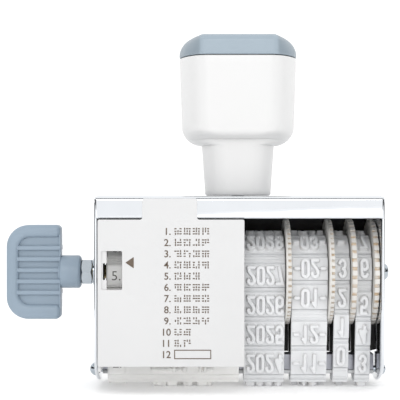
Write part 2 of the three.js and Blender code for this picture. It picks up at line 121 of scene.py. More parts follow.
def skin(rings, wrap=False):
    """A shell over closed rings of equally many points, with flat caps unless the last meets the first."""
    count = len(rings[0])
    points = [point for ring in rings for point in ring]
    faces = []
    levels = len(rings) if wrap else len(rings) - 1
    for level in range(levels):
        here = level * count
        there = (level + 1) % len(rings) * count
        for i in range(count):
            after = (i + 1) % count
            faces.append((here + i, here + after, there + after, there + i))
    if not wrap:
        faces.append(tuple(range(count - 1, -1, -1)))
        last = (len(rings) - 1) * count
        faces.append(tuple(last + i for i in range(count)))
    return Shape().add(points, faces)


def spoke(profile, angle, z=AXIS_Z):
    """The (x, radius) profile standing out from a line along X at height z, at an angle from the back."""
    across, up = math.cos(angle), math.sin(angle)
    return [(x, AXIS_Y + radius * across, z + radius * up) for x, radius in profile]


def turned(profile, z=AXIS_Z, segments=64):
    """A turned shape about a line along X at height z; the profile lists (x, radius) and closes."""
    return skin([spoke(profile, 2 * math.pi * step / segments, z) for step in range(segments)], wrap=True)


def rounded(corners, steps=6):
    """The outline through (u, v, radius) corners, each rounded by its radius."""
    outline = []
    for i, (u, v, radius) in enumerate(corners):
        here = Vector((u, v))
        before = (Vector(corners[i - 1][:2]) - here).normalized()
        after = (Vector(corners[(i + 1) % len(corners)][:2]) - here).normalized()
        if radius == 0:
            outline.append(tuple(here))
            continue
        opening = before.angle(after)
        reach = radius / math.tan(opening / 2)
        start, end = here + before * reach, here + after * reach
        centre = here + (before + after).normalized() * radius / math.sin(opening / 2)
        first = start - centre
        turn = first.angle_signed(end - centre)
        for step in range(steps + 1):
            angle = -turn * step / steps
            arm = Vector((
                first.x * math.cos(angle) - first.y * math.sin(angle),
                first.x * math.sin(angle) + first.y * math.cos(angle),
            ))
            outline.append(tuple(centre + arm))
    return outline


def rectangle(u0, u1, v0, v1, radius=0.0, steps=6):
    return rounded([(u0, v0, radius), (u1, v0, radius), (u1, v1, radius), (u0, v1, radius)], steps)


def in_scene(data):
    """A new object in the scene, named as its data is."""
    thing = bpy.data.objects.new(data.name, data)
    bpy.context.scene.collection.objects.link(thing)
    return thing


def as_mesh(curve):
    """The mesh that a curve or a text makes, which uses the curve up."""
    holder = in_scene(curve)
    shown = holder.evaluated_get(bpy.context.evaluated_depsgraph_get())
    mesh = bpy.data.meshes.new_from_object(shown)
    bpy.data.objects.remove(holder)
    bpy.data.curves.remove(curve)
    return mesh


def gathered(bm):
    """The shape that a bmesh holds, which uses the bmesh up."""
    bm.verts.index_update()
    points = [tuple(v.co) for v in bm.verts]
    faces = [tuple(v.index for v in face.verts) for face in bm.faces]
    bm.free()
    return Shape().add(points, faces)


def plate(loops, low, high, edge):
    """A plate of the given (u, v) loops, holes after the first, from low to high, with round edges."""
    curve = bpy.data.curves.new("plate", "CURVE")
    curve.dimensions = "2D"
    curve.fill_mode = "BOTH"
    curve.extrude = (high - low) / 2 - edge
    curve.bevel_depth = edge
    curve.bevel_resolution = 3
    curve.offset = -edge
    for loop in loops:
        spline = curve.splines.new("POLY")
        spline.points.add(len(loop) - 1)
        for point, (u, v) in zip(spline.points, loop):
            point.co = (u, v, 0, 1)
        spline.use_cyclic_u = True
    mesh = as_mesh(curve)
    bm = bmesh.new()
    bm.from_mesh(mesh)
    bpy.data.meshes.remove(mesh)
    bmesh.ops.remove_doubles(bm, verts=bm.verts, dist=edge / 50)
    bmesh.ops.recalc_face_normals(bm, faces=bm.faces)
    middle = (low + high) / 2
    return gathered(bm).moved(lambda u, v, w: (u, v, w + middle))


def plate_facing_y(loops, front, back, edge):
    """A plate of (x, z) loops between two places along Y."""
    return plate(loops, front, back, edge).moved(lambda u, v, w: (u, w, v))


def plate_facing_x(loops, left, right, edge):
    """A plate of (y, z) loops between two places along X."""
    return plate(loops, left, right, edge).moved(lambda u, v, w: (w, u, v))


def make_piece(name, shape, look, body, slot, replaces=(), crease=35):
    """Turns a shape in millimetres into a piece that rides on a body."""
    mesh = bpy.data.meshes.new(name)
    mesh.from_pydata([(x * MM, y * MM, z * MM) for x, y, z in shape.points], [], shape.faces)
    bm = bmesh.new()
    bm.from_mesh(mesh)
    bmesh.ops.recalc_face_normals(bm, faces=bm.faces)
    bm.to_mesh(mesh)
    bm.free()
    mesh.shade_smooth()
    mesh.set_sharp_from_angle(angle=math.radians(crease))
    mesh.materials.append(look)
    piece = in_scene(mesh)
    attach(piece, body)
    if replaces:
        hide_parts(*replaces)
    return piece


def paint(piece, name, values):
    """Gives every point of a piece a number, which its material reads by name."""
    piece.data.attributes.new(name, "FLOAT", "POINT").data.foreach_set("value", values)


# ---------------- materials

class Nodes:
    """A material's node tree, with short ways to add what the looks here need."""

    def __init__(self, name, metallic=0.0):
        self.material = bpy.data.materials.new(name)
        self.material.use_nodes = True
        self.tree = self.material.node_tree
        self.shader = self.tree.nodes["Principled BSDF"]
        self.shader.inputs["Metallic"].default_value = metallic
        self.shader.inputs["IOR"].default_value = 1.46
        self.place = self.tree.nodes.new("ShaderNodeTexCoord").outputs["Object"]

    def link(self, source, target):
        self.tree.links.new(source, target)
        return target

    def noise(self, size, detail=3.0, roughness=0.55, stretch=(1, 1, 1)):
        """Noise with spots of the given size in millimetres, stretched along X, Y and Z."""
        mapping = self.tree.nodes.new("ShaderNodeMapping")
        mapping.inputs["Scale"].default_value = [1 / (size * MM * factor) for factor in stretch]
        self.link(self.place, mapping.inputs["Vector"])
        node = self.tree.nodes.new("ShaderNodeTexNoise")
        node.inputs["Scale"].default_value = 1.0
        node.inputs["Detail"].default_value = detail
        node.inputs["Roughness"].default_value = roughness
        self.link(mapping.outputs["Vector"], node.inputs["Vector"])
        return node.outputs["Fac"]

    def spread(self, value, low, high, start=0.3, end=0.7):
        """Maps a value from start..end to low..high."""
        node = self.tree.nodes.new("ShaderNodeMapRange")
        node.inputs["From Min"].default_value = start
        node.inputs["From Max"].default_value = end
        node.inputs["To Min"].default_value = low
        node.inputs["To Max"].default_value = high
        self.link(value, node.inputs["Value"])
        return node.outputs["Result"]

    def mix(self, factor, first, second):
        """Mixes two colours, each an RGB triple or another node's output."""
        node = self.tree.nodes.new("ShaderNodeMix")
        node.data_type = "RGBA"
        for socket, colour in ((node.inputs[6], first), (node.inputs[7], second)):
            if isinstance(colour, tuple):
                socket.default_value = (*colour, 1)
            else:
                self.link(colour, socket)
        self.link(factor, node.inputs[0])
        return node.outputs[2]

    def clouded(self, noise, first, second):
        """Two colours in patches, mixed by a noise."""
        return self.mix(self.spread(noise, 0, 1), first, second)

    def times(self, first, second):
        node = self.tree.nodes.new("ShaderNodeMath")
        node.operation = "MULTIPLY"
        self.link(first, node.inputs[0])
        self.link(second, node.inputs[1])
        return node.outputs[0]

    def stained(self, colours, name, stain, spots):
        """The colours with patches of stain where the attribute of that name lets them through."""
        return self.mix(self.times(spots, self.attribute(name)), colours, stain)

    def attribute(self, name):
        node = self.tree.nodes.new("ShaderNodeAttribute")
        node.attribute_name = name
        return node.outputs["Fac"]

    def bump(self, height, depth):
        """Adds a bump of the given depth in millimetres."""
        node = self.tree.nodes.new("ShaderNodeBump")
        node.inputs["Strength"].default_value = 1.0
        node.inputs["Distance"].default_value = depth * MM
        self.link(height, node.inputs["Height"])
        last = self.shader.inputs["Normal"].links
        if last:
            self.link(last[0].from_socket, node.inputs["Normal"])
        self.link(node.outputs["Normal"], self.shader.inputs["Normal"])

    def finish(self, colour, roughness):
        self.link(colour, self.shader.inputs["Base Color"])
        self.link(roughness, self.shader.inputs["Roughness"])
        return self.material


def shade(colour, factor):
    return tuple(channel * factor for channel in colour)


def metal(name, colour, roughness, drawn=(1, 1, 1), depth=0.004, tint=0.9):
    """Plated or drawn metal: cloudy patches, fine drawn lines and a slight waviness."""
    nodes = Nodes(name, metallic=1.0)
    clouds = nodes.noise(6, detail=4)
    lines = nodes.noise(0.25, detail=2, stretch=drawn)
    colours = nodes.clouded(clouds, shade(colour, tint), colour)
    nodes.bump(lines, depth)
    nodes.bump(nodes.noise(5, detail=1), 0.02)
    return nodes.finish(colours, nodes.spread(clouds, roughness * 0.7, roughness * 1.5))


def plastic(name, colour, roughness, grain=0.004, mottle=0.96, shaded_sides=False):
    """Moulded plastic: faint mottling, a fine grain and small scuffs, and, when asked, painted shade that
    darkens the sides.
    """
    nodes = Nodes(name)
    clouds = nodes.noise(9, detail=3)
    scuffs = nodes.noise(1.6, detail=5, roughness=0.7)
    colours = nodes.clouded(clouds, shade(colour, mottle), colour)
    if shaded_sides:
        # Painted shade: the sides, as the "side" attribute marks them, are darkened as if the light fell off
        # round them.
        colours = nodes.mix(nodes.attribute("side"), colours, shade(colour, 0.76))
    nodes.bump(nodes.noise(0.12, detail=2), grain)
    return nodes.finish(colours, nodes.spread(scuffs, roughness * 0.85, roughness * 1.2))


def rubber(name, face):
    """Pale moulded rubber: ink kept on the flanks of the characters together with painted shade on their
    left flanks, dust, and a dark cloth inside.
    """
    nodes = Nodes(name)
    worn, ink = shade(face, 0.965), (0.40, 0.35, 0.30)
    clouds = nodes.noise(2.5, detail=3)
    colours = nodes.clouded(clouds, worn, face)
    spots = nodes.spread(nodes.noise(1.3, detail=3), 0.1, 0.5, 0.42, 0.66)
    # The flank mask carries ink and painted shade: it is heavier on the left flanks, as if lit from the
    # right.
    colours = nodes.stained(colours, "ink_and_shade_flank", ink, spots)
    cloth = nodes.mix(clouds, (0.02, 0.019, 0.018), (0.035, 0.033, 0.03))
    colours = nodes.mix(nodes.attribute("inside"), colours, cloth)
    nodes.bump(nodes.noise(0.7, detail=2), 0.003)
    return nodes.finish(colours, nodes.spread(clouds, 0.6, 0.75))


def stained_cream(name):
    """Cream plastic of the thumb discs, with tan ink caught between the teeth."""
    nodes = Nodes(name)
    cream, warm, tan = (0.623, 0.611, 0.586), (0.598, 0.582, 0.553), (0.541, 0.41, 0.27)
    clouds = nodes.noise(4, detail=3)
    colours = nodes.clouded(clouds, warm, cream)
    spots = nodes.spread(nodes.noise(1.2, detail=2), 0.25, 0.95, 0.4, 0.62)
    colours = nodes.stained(colours, "gap", tan, spots)
    nodes.bump(nodes.noise(0.2, detail=2), 0.005)
    return nodes.finish(colours, nodes.spread(clouds, 0.42, 0.6))


def printed_ink(name, colour):
    """Screen-printed ink with a slightly uneven coverage."""
    nodes = Nodes(name)
    coverage = nodes.noise(0.35, detail=3)
    colours = nodes.clouded(coverage, shade(colour, 0.85), shade(colour, 1.25))
    return nodes.finish(colours, nodes.spread(coverage, 0.45, 0.6))


def black_coat(name):
    """Near-black finish on sheet, which is painted shade for the dark inside of the frame: a little dusty,
    with a faint grain.
    """
    nodes = Nodes(name)
    dust = nodes.noise(2.5, detail=4)
    colours = nodes.clouded(dust, (0.014, 0.014, 0.014), (0.028, 0.026, 0.024))
    nodes.bump(nodes.noise(0.2, detail=2), 0.006)
    return nodes.finish(colours, nodes.spread(dust, 0.45, 0.7))


CHROME = metal("chrome_plate", (0.713, 0.734, 0.762), 0.045, drawn=(12, 12, 1), depth=0.0012, tint=0.97)
STEEL = metal("zinc_steel", (0.443, 0.484, 0.525), 0.13, drawn=(1, 8, 8))
BAR_STEEL = metal("platen_plate", (0.426, 0.434, 0.475), 0.4, drawn=(12, 1, 1))
BRASS = metal("axle_brass", (0.492, 0.402, 0.23), 0.3, drawn=(12, 1, 1))
HANDLE_WHITE = plastic("handle_white", (0.65, 0.65, 0.649), 0.34, mottle=0.99)
COVER_WHITE = plastic("cover_white", (0.611, 0.612, 0.614), 0.5, mottle=0.985)
NOSE_WHITE = plastic("nose_white", (0.639, 0.648, 0.656), 0.5)
# The cap has painted shade on its sides.
CAP_BLUE = plastic("cap_grey_blue", (0.295, 0.357, 0.41), 0.36, shaded_sides=True)
KNOB_BLUE = plastic("knob_grey_blue", (0.25, 0.316, 0.385), 0.4, grain=0.006)
CREAM = stained_cream("wheel_cream")
RUBBER = rubber("band_rubber", (0.70, 0.708, 0.72))
# Painted light: the phrase band is the same rubber as the others, painted paler to stand for light that
# seeps into the space behind the cover.
LIT_PHRASE_RUBBER = rubber("phrase_rubber_painted_light", (0.95, 0.945, 0.93))
INK = printed_ink("legend_ink", (0.115, 0.085, 0.062))
INDEX_INK = printed_ink("index_ink", (0.10, 0.095, 0.085))
# Painted shade: the black of the sheet behind the bands stands for the shade inside the frame.
SHADE_SHEET_BLACK = black_coat("shield_black")


# ---------------- camera, light and floor

def aim(thing, target):
    thing.rotation_euler = (Vector(target) - thing.location).to_track_quat("-Z", "Y").to_euler()


def make_camera():
    """The level view of the front, from as near as shows its perspective."""
    distance = 284.6
    target = ((MIDDLE_X - 8.3) * MM, AXIS_Y * MM, 40.5 * MM)
    data = bpy.data.cameras.new("camera")
    data.sensor_width = 36
    data.lens = 116.7
    data.clip_start = 0.01
    camera = in_scene(data)
    camera.location = (target[0], target[1] - distance * MM, target[2])
    aim(camera, target)
    bpy.context.scene.camera = camera


def make_sheet(name, width, height, look):
    """A flat rectangle about its own middle, which isn't part of the stamp."""
    mesh = bpy.data.meshes.new(name)
    corners = [(-width, -height), (width, -height), (width, height), (-width, height)]
    mesh.from_pydata([(x / 2, y / 2, 0) for x, y in corners], [], [(0, 1, 2, 3)])
    mesh.materials.append(look)
    sheet = in_scene(mesh)
    sheet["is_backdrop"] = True
    return sheet


def make_card(name, place, target, width, height, look):
    """A flat card that only the shiny pieces reflect."""
    card = make_sheet(name, width, height, look)
    card.location = place
    aim(card, target)
    card.visible_camera = False
    card.visible_diffuse = False
    card.visible_shadow = False


def make_studio():
    world = bpy.data.worlds.new("studio")
    world.use_nodes = True
    background = world.node_tree.nodes["Background"]
    background.inputs["Color"].default_value = (1.0, 1.0, 1.0, 1)
    background.inputs["Strength"].default_value = 1.22
    bpy.context.scene.world = world
    bpy.context.scene.view_settings.view_transform = "Standard"

    middle = (MIDDLE_X * MM, AXIS_Y * MM, 0.035)
    data = bpy.data.lights.new("key", "AREA")
    data.shape = "DISK"
    data.size = 0.3
    data.energy = 1.1
    key = in_scene(data)
    key.location = (0.0, -0.72, 0.36)
    aim(key, middle)

    nodes = Nodes("card_black")
    shades = nodes.noise(40)
    dark = nodes.mix(shades, (0.015, 0.015, 0.016), (0.02, 0.02, 0.021))
    black = nodes.finish(dark, nodes.spread(shades, 0.8, 0.9))
    for side, sign in (("left", -1), ("right", 1)):
        make_card(f"card_{side}", (sign * 0.6, -0.1, 0.08), middle, 0.8, 0.36, black)
        make_card(f"card_{side}_near", (sign * 0.3, -0.5, 0.05), middle, 0.3, 0.24, black)
    make_card("card_high", (0.0, -0.45, 0.4), middle, 1.2, 0.26, black)

    nodes = Nodes("paper_white")
    grain = nodes.noise(2, detail=3)
    white = nodes.mix(grain, (0.94, 0.94, 0.94), (0.96, 0.96, 0.96))
    nodes.shader.inputs["Emission Strength"].default_value = 0.12
    nodes.link(white, nodes.shader.inputs["Emission Color"])
    floor = make_sheet("floor", 6.0, 6.0, nodes.finish(white, nodes.spread(grain, 0.8, 0.9)))
    floor.location.z = CAD_BOUNDS[0][2] - 0.0001


# ---------------- frame

SHEET = 0.8
BEND = 0.95
BEND_LENGTH = BEND * RIGHT_ANGLE
BEND_STEPS = 8
SHEET_EDGE = 0.36
LIP_INSET = 0.25
PLATE_SETBACK = 0.95
FOOT_SETBACK = 1.8
FRONT_LIP = 4.75
BACK_LIP = 8.65


def quadratic(start, control, end, steps):
    """Points along a quadratic curve, without its start."""
    points = []
    for step in range(1, steps + 1):
        t = step / steps
        weights = ((1 - t) ** 2, 2 * t * (1 - t), t ** 2)
        points.append(tuple(
            sum(weight * p[axis] for weight, p in zip(weights, (start, control, end))) for axis in range(2)
        ))
    return points


def sliced(shape, axis, places):
    """The shape with a cut line through its faces at each place along an axis."""
    bm = bmesh.new()
    for point in shape.points:
        bm.verts.new(point)
    bm.verts.ensure_lookup_table()
    for face in shape.faces:
        bm.faces.new([bm.verts[i] for i in face])
    normal = Vector([float(i == axis) for i in range(3)])
    for place in places:
        everything = bm.verts[:] + bm.edges[:] + bm.faces[:]
        bmesh.ops.bisect_plane(bm, geom=everything, dist=1e-4, plane_co=normal * place, plane_no=normal)
    return gathered(bm)


def folded(along, start, depth):
    """Across and up for a point of the blank, depth below its outer face, past the bend from start."""
    past = along - start
    if past <= 0:
        return along, FRAME.top - depth
    if past < BEND_LENGTH:
        angle = past / BEND
        reach = BEND - depth
        return start + reach * math.sin(angle), FRAME.top - BEND + reach * math.cos(angle)
    return start + BEND - depth, FRAME.top - BEND - (past - BEND_LENGTH)


def side_flap(bend_start, half_depth):
    """One side plate in the flat blank, from its front corner to its back corner."""
    straight_start = bend_start + BEND_LENGTH
    plate_half = half_depth - PLATE_SETBACK
    foot_half = half_depth - FOOT_SETBACK
    notch = plate_half - 0.45

    def height(z):
        return straight_start + FRAME.top - BEND - z

    corner = (height(FRAME.bottom + 6.2), foot_half)
    shoulder = (height(FRAME.bottom + 3.1), foot_half - 0.3)
    curve_end = (height(FRAME.bottom + 2.1), foot_half - 3)
    lowest = (height(FRAME.bottom - 2.1), 0)
    back = [(bend_start - 0.1, notch), (straight_start, notch), (straight_start + 0.4, plate_half), corner]
    back += quadratic(corner, shoulder, curve_end, 8)
    front = [(along, -across) for along, across in back]
    bottom = quadratic(front[-1], lowest, back[-1], 16)
    return front + bottom[:-1] + back[::-1]


def make_frame():
    """A flat blank with four flaps, folded down at its bends."""
    half_width = (FRAME.right - FRAME.left) / 2
    half_depth = (FRAME.back - FRAME.front) / 2
    side_start = half_width - BEND
    lip_start = half_depth - BEND
    lip_half = half_width - LIP_INSET
    slit = lip_start + 0.1
    front_end = lip_start + BEND_LENGTH + FRONT_LIP - BEND
    back_end = lip_start + BEND_LENGTH + BACK_LIP - BEND
    right = side_flap(side_start, half_depth)
    left = [(-along, -across) for along, across in right]
    back_lip = [
        (side_start - 0.1, slit), (lip_half, slit), (lip_half, back_end),
        (-lip_half, back_end), (-lip_half, slit), (0.1 - side_start, slit),
    ]
    front_lip = [
        (0.1 - side_start, -slit), (-lip_half, -slit), (-lip_half, -front_end),
        (lip_half, -front_end), (lip_half, -slit), (side_start - 0.1, -slit),
    ]
    blank = plate([right + back_lip + left + front_lip], -SHEET, 0, SHEET_EDGE)
    steps = [BEND_LENGTH * i / BEND_STEPS for i in range(BEND_STEPS + 1)]
    for sign in (-1, 1):
        blank = sliced(blank, 0, [sign * (side_start + step) for step in steps])
        blank = sliced(blank, 1, [sign * (lip_start + step) for step in steps])

    def fold(u, v, w):
        beyond_lips = abs(u) > lip_half + 0.1
        if abs(v) > lip_start - 0.05 and not beyond_lips:
            across, z = folded(abs(v), lip_start, -w)
            return MIDDLE_X + u, AXIS_Y + math.copysign(across, v), z
        across, z = folded(abs(u), side_start, -w)
        return MIDDLE_X + math.copysign(across, u), AXIS_Y + v, z

    make_piece("folded_frame", blank.moved(fold), CHROME, "stamp_body", "chrome_plate", ["frame"])


# ---------------- handle

SIDE_STEPS = 20
CREASE_FILLET = 0.8
GRIP_FILLET = 1.6


def handle_ring(z, half_width, half_depth, crease, fillet=CREASE_FILLET):
    """A ring of the handle: flat front and back, round sides, and a small fillet at each crease."""
    bulge = half_width - crease
    radius = (half_depth ** 2 + bulge ** 2) / (2 * bulge)
    sweep = math.asin(half_depth / radius)
    centre = half_width - radius
    inner_sweep = sweep - fillet / radius
    arc = []
    for step in range(SIDE_STEPS + 1):
        angle = -inner_sweep + 2 * inner_sweep * step / SIDE_STEPS
        arc.append((centre + radius * math.cos(angle), radius * math.sin(angle)))
    flat = crease - fillet
    back_corner = quadratic(arc[-1], (crease, half_depth), (flat, half_depth), 6)
    front_corner = [(x, -y) for x, y in back_corner][::-1]
    right = front_corner + arc + back_corner
    across = [(flat * (1 - 2 * i / 8), half_depth) for i in range(1, 8)]
    half_ring = right + across
    ring = half_ring + [(-x, -y) for x, y in half_ring]
    return [(MIDDLE_X + x, AXIS_Y + y, z) for x, y in ring]


NECK_BOTTOM = 41.45
PARTING = 71.3
SHOULDER = 72.0
CAP_CREASE = 8.1
# Where the neck swells into the head, from and to: at the sides, the front and back, and the creases.
SIDE_ARCH = (52.3, 56.6)
FRONT_ARCH = (53.6, 55.4)
CREASE_ARCH = (54.2, 57.1)
# Half measures at the neck's foot, at its top, above the arch and at the parting.
HALF_WIDTHS = (7.15, 7.9, 12.3, 12.8)
HALF_DEPTHS = (6.4, 7.0, 9.85, 10.0)
CREASES = (3.6, 4.35, 8.0, CAP_CREASE)


def rise(z, low, high, start, end):
    """From start at low to end at high along a quarter of an ellipse, steeply at first."""
    t = min(1.0, max(0.0, (high - z) / (high - low)))
    return start + (end - start) * math.sqrt(1 - t * t)


def slide(z, low, high, start, end):
    t = min(1.0, max(0.0, (z - low) / (high - low)))
    return start + (end - start) * t


def measure(z, arch, neck_top, measures):
    """A half measure at height z, which widens slowly along the neck and the head and fast in the arch."""
    foot, neck, shoulder, top = measures
    low, high = arch
    if z <= low:
        return slide(z, NECK_BOTTOM, neck_top, foot, neck)
    return rise(z, low, high, neck, shoulder) if z <= high else slide(z, high, PARTING, shoulder, top)


def handle_section(z):
    """Half width, half depth and crease of the handle at height z."""
    width = measure(z, SIDE_ARCH, SIDE_ARCH[0], HALF_WIDTHS)
    depth = measure(z, FRONT_ARCH, SIDE_ARCH[0], HALF_DEPTHS)
    return width, depth, measure(z, CREASE_ARCH, CREASE_ARCH[0], CREASES)


def make_handle():
    roll = 0.3
    levels = [NECK_BOTTOM + roll + (SIDE_ARCH[0] - NECK_BOTTOM - roll) * i / 10 for i in range(11)]
    for (low, high), steps in ((SIDE_ARCH, 26), (FRONT_ARCH, 14), (CREASE_ARCH, 18)):
        levels += [high - (high - low) * math.cos(RIGHT_ANGLE * i / steps) for i in range(1, steps + 1)]
    head = CREASE_ARCH[1] + 0.1
    levels += [head + (PARTING - roll - head) * i / 12 for i in range(1, 13)]
    levels = sorted(levels)
    levels = [z for z, before in zip(levels, [0] + levels) if z - before > 0.004]

    def ring(z, inset=0.0):
        width, depth, crease = handle_section(z)
        return handle_ring(z, width - inset, depth - inset, crease - inset * 0.4, fillet=GRIP_FILLET)

    rings = [ring(NECK_BOTTOM, 0.9), ring(NECK_BOTTOM, roll)]
    rings += [ring(z) for z in levels]
    for step in range(1, 5):
        angle = RIGHT_ANGLE * step / 4
        rings.append(ring(PARTING - roll + roll * math.sin(angle), roll * (1 - math.cos(angle))))
    rings.append(ring(PARTING, 1.0))
    make_piece("grip", skin(rings), HANDLE_WHITE, "stamp_body", "handle_white", ["handle"], 50)


def make_handle_cap():
    """The cap: quarter-ellipse shoulders, and front and back edges rounding more tightly into the top."""
    width, depth, crease = handle_section(PARTING)
    seat = PARTING + 0.15
    roll = 0.3
    edge_drop, edge_inset = 1.6, 2.6
    rings = [handle_ring(seat, width - 1, depth - 1, crease - 0.4)]
    for step in range(5):
        angle = RIGHT_ANGLE * step / 5
        inset = roll * (1 - math.sin(angle))
        rings.append(handle_ring(seat + roll * (1 - math.cos(angle)), width - inset, depth - inset, crease))
    steps = 44
    for step in range(steps + 1):
        angle = step / steps * math.acos(0.06)
        reach = crease + (width - crease) * math.cos(angle)
        z = SHOULDER + (CAP.top - SHOULDER) * math.sin(angle)
        past = max(0.0, (z - CAP.top + edge_drop) / edge_drop)
        inset = edge_inset * (1 - math.sqrt(1 - past ** 2))
        fillet = min(CREASE_FILLET, 0.3 * (reach - crease) + 0.2)
        rings.append(handle_ring(z, reach - inset / 9, depth - inset, crease - inset / 5, fillet))
    cap = make_piece("grip_cap", skin(rings), CAP_BLUE, "stamp_body", "cap_grey_blue", ["handle_cap"], 50)
    # How far out round the shoulders each point lies: the mask of the cap's painted side shade.
    outward = [abs(x - MIDDLE_X) - crease for ring in rings for x, _, _ in ring]
    paint(cap, "side", [slide(past, 0.0, 0.5, 0.0, 1.0) for past in outward])


# ---------------- front cover and its legend

COVER_THICKNESS = 1.0
COVER_WALL = 0.6
COVER_FACE = AXIS_Y - 13.6
COVER_TOP = 36.4
TAB_DEPTH = 0.45
WINDOW_LOW, WINDOW_HIGH = 21.7, 29.8
WINDOW_LEFT, WINDOW_RIGHT = MIDDLE_X - 28.95, MIDDLE_X - 24.6
ROW_PITCH = 2.34
ROWS = 12
INK_HEIGHT = 0.03


def window_shelf(back):
    """The strip just behind the window's left edge, with a notch that shows the axle."""
    left, right = WINDOW_LEFT - 0.02, WINDOW_LEFT + 1.1
    low, high = WINDOW_LOW - 0.02, WINDOW_HIGH + 0.02
    notch_left, notch_low, notch_high = WINDOW_LEFT + 0.3, AXIS_Z - 1.05, AXIS_Z + 2.45
    outline = rounded([
        (left, low, 0), (right, low, 0), (right, notch_low, 0.1), (notch_left, notch_low, 0.15),
        (notch_left, notch_high, 0.15), (right, notch_high, 0.1), (right, high, 0), (left, high, 0),
    ])
    return plate_facing_y([outline], COVER_FACE + 0.3, back - 0.03, 0.03)


def make_front_cover():
    left, right, bottom, top = COVER.left, MIDDLE_X + 1.0, COVER.bottom + 1.2, COVER_TOP
    tab_left, tab_right, tab_top = MIDDLE_X - 20.4, MIDDLE_X - 8.9, 40.8
    corner = 0.35
    outline = rounded([
        (left, bottom, corner), (right, bottom, corner), (right, top, corner), (tab_right, top, 0.5),
        (tab_right, tab_top, 0.4), (tab_left, tab_top, 0.4), (tab_left, top, 0.5), (left, top, corner),
    ])
    window = rectangle(WINDOW_LEFT, WINDOW_RIGHT, WINDOW_LOW, WINDOW_HIGH, 0.3)[::-1]
    back = COVER_FACE + COVER_THICKNESS
    shape = plate_facing_y([outline, window], COVER_FACE, back, 0.12)

    def thin_tab(x, y, z):
        behind = y > COVER_FACE + COVER_THICKNESS / 2 and z > top + 0.02
        return (x, y - (COVER_THICKNESS - TAB_DEPTH), z) if behind else (x, y, z)

    shape = shape.moved(thin_tab)
    shape.joined(window_shelf(back))
    front, notch_front = back - 0.2, AXIS_Y - 9.0
    left_back, right_back = COVER_FACE + 11, COVER_FACE + 4
    left_wall = rounded([
        (front, COVER.bottom, 0.2), (left_back, COVER.bottom, 1.2), (left_back, top, 1.2), (front, top, 0.2),
        (front, AXIS_Z + 2, 0), (notch_front, AXIS_Z + 2, 0.3),
        (notch_front, AXIS_Z - 2, 0.3), (front, AXIS_Z - 2, 0),
    ])
    shape.joined(plate_facing_x([left_wall], left + 0.02, left + COVER_WALL, 0.1))
    low_top = top - 0.6
    right_wall = rounded([
        (front, bottom, 0.2), (right_back, bottom, 0.8), (right_back, low_top, 0.8), (front, low_top, 0.2),
    ])
    shape.joined(plate_facing_x([right_wall], right - COVER_WALL, right - 0.02, 0.1))
    make_piece("legend_cover", shape, COVER_WHITE, "stamp_body", "cover_white", ["front_cover"], 40)


def printed(loops):
    """Ink on the cover inside an outline, less its holes."""
    return plate_facing_y(loops, COVER_FACE - INK_HEIGHT, COVER_FACE + 0.02, 0.008)


def ticks(random, gap):
    """A neutral sign, which spells nothing: each tick's column and row from -1 to 1, and if it is flat."""
    for column in (-1, 0, 1):
        for row in (-1, 0, 1):
            if random.random() >= gap:
                yield column, row, random.random() < 0.5


def print_sign(ink, x, z, size, random):
    """A neutral printed sign of short separate ticks."""
    step = size / 3
    long, thin = 0.43 * step, 0.155 * size
    for column, row, flat in ticks(random, 0.12):
        cx = x + (column + 1.5) * step
        cz = z + (row + 1.5) * step
        across, up = (long, thin / 2) if flat else (thin / 2, long)
        radius = min(0.06, across / 1.5, up / 1.5)
        ink.joined(printed([rectangle(cx - across, cx + across, cz - up, cz + up, radius, 2)]))


def number_outlines(text, right, base, height, weight):
    """A printed number lying flat, whose last sign ends at right and which stands on base."""
    curve = bpy.data.curves.new("number", "FONT")
    curve.body = text
    curve.align_x = "RIGHT"
    curve.size = height / 0.7
    curve.extrude = INK_HEIGHT
    curve.offset = weight
    curve.resolution_u = 3
    mesh = as_mesh(curve)
    points = [(right + v.co.x, base + v.co.y, v.co.z) for v in mesh.vertices]
    faces = [tuple(polygon.vertices) for polygon in mesh.polygons]
    bpy.data.meshes.remove(mesh)
    return Shape().add(points, faces)


def make_legend():
    """Twelve printed rows, each a number and neutral signs, the last an empty frame; and a pointer."""
    random = np.random.default_rng(12)
    ink = Shape()
    first_row = 33.96
    number_right, text_left = MIDDLE_X - 14.35, MIDDLE_X - 13.7
    sign, sign_pitch = 1.6, 1.92
    signs_in_row = (4, 4, 4, 4, 3, 4, 4, 4, 4, 2, 2, 0)
    for row in range(ROWS):
        z = first_row - ROW_PITCH * row
        text = f"{row + 1}." if row < 9 else f"{row + 1}"
        number = number_outlines(text, number_right, z - 0.74, 1.46, 0.025)
        ink.joined(number.moved(lambda u, v, w: (u, COVER_FACE - w, v)))
        for i in range(signs_in_row[row]):
            print_sign(ink, text_left + i * sign_pitch, z - sign / 2, sign, random)
    frame_right, half_height, line = text_left + 7.75, 0.98, 0.2
    outer = rectangle(text_left, frame_right, z - half_height, z + half_height, 0.08, 2)
    low, high = z - half_height + line, z + half_height - line
    inner = rectangle(text_left + line, frame_right - line, low, high, 0.05, 2)[::-1]
    ink.joined(printed([outer, inner]))
    pointer_z, half = 27.4, 1.2
    tip, base = MIDDLE_X - 23.9, MIDDLE_X - 22.15
    ink.joined(printed([rounded([
        (tip, pointer_z, 0.06), (base, pointer_z - half, 0.06), (base, pointer_z + half, 0.06),
    ], 2)]))
    make_piece("legend_print", ink, INK, "stamp_body", "cover_white")


# ---------------- axle, knob and fastenings

ROD_RADIUS = 1.5


def domed(start, reach, radius, inner, steps):
    """The (x, radius) points of a quarter ellipse that closes from radius to inner, without its ends."""
    angles = [RIGHT_ANGLE * step / steps for step in range(1, steps)]
    return [(start + reach * math.sin(a), inner + (radius - inner) * math.cos(a)) for a in angles]


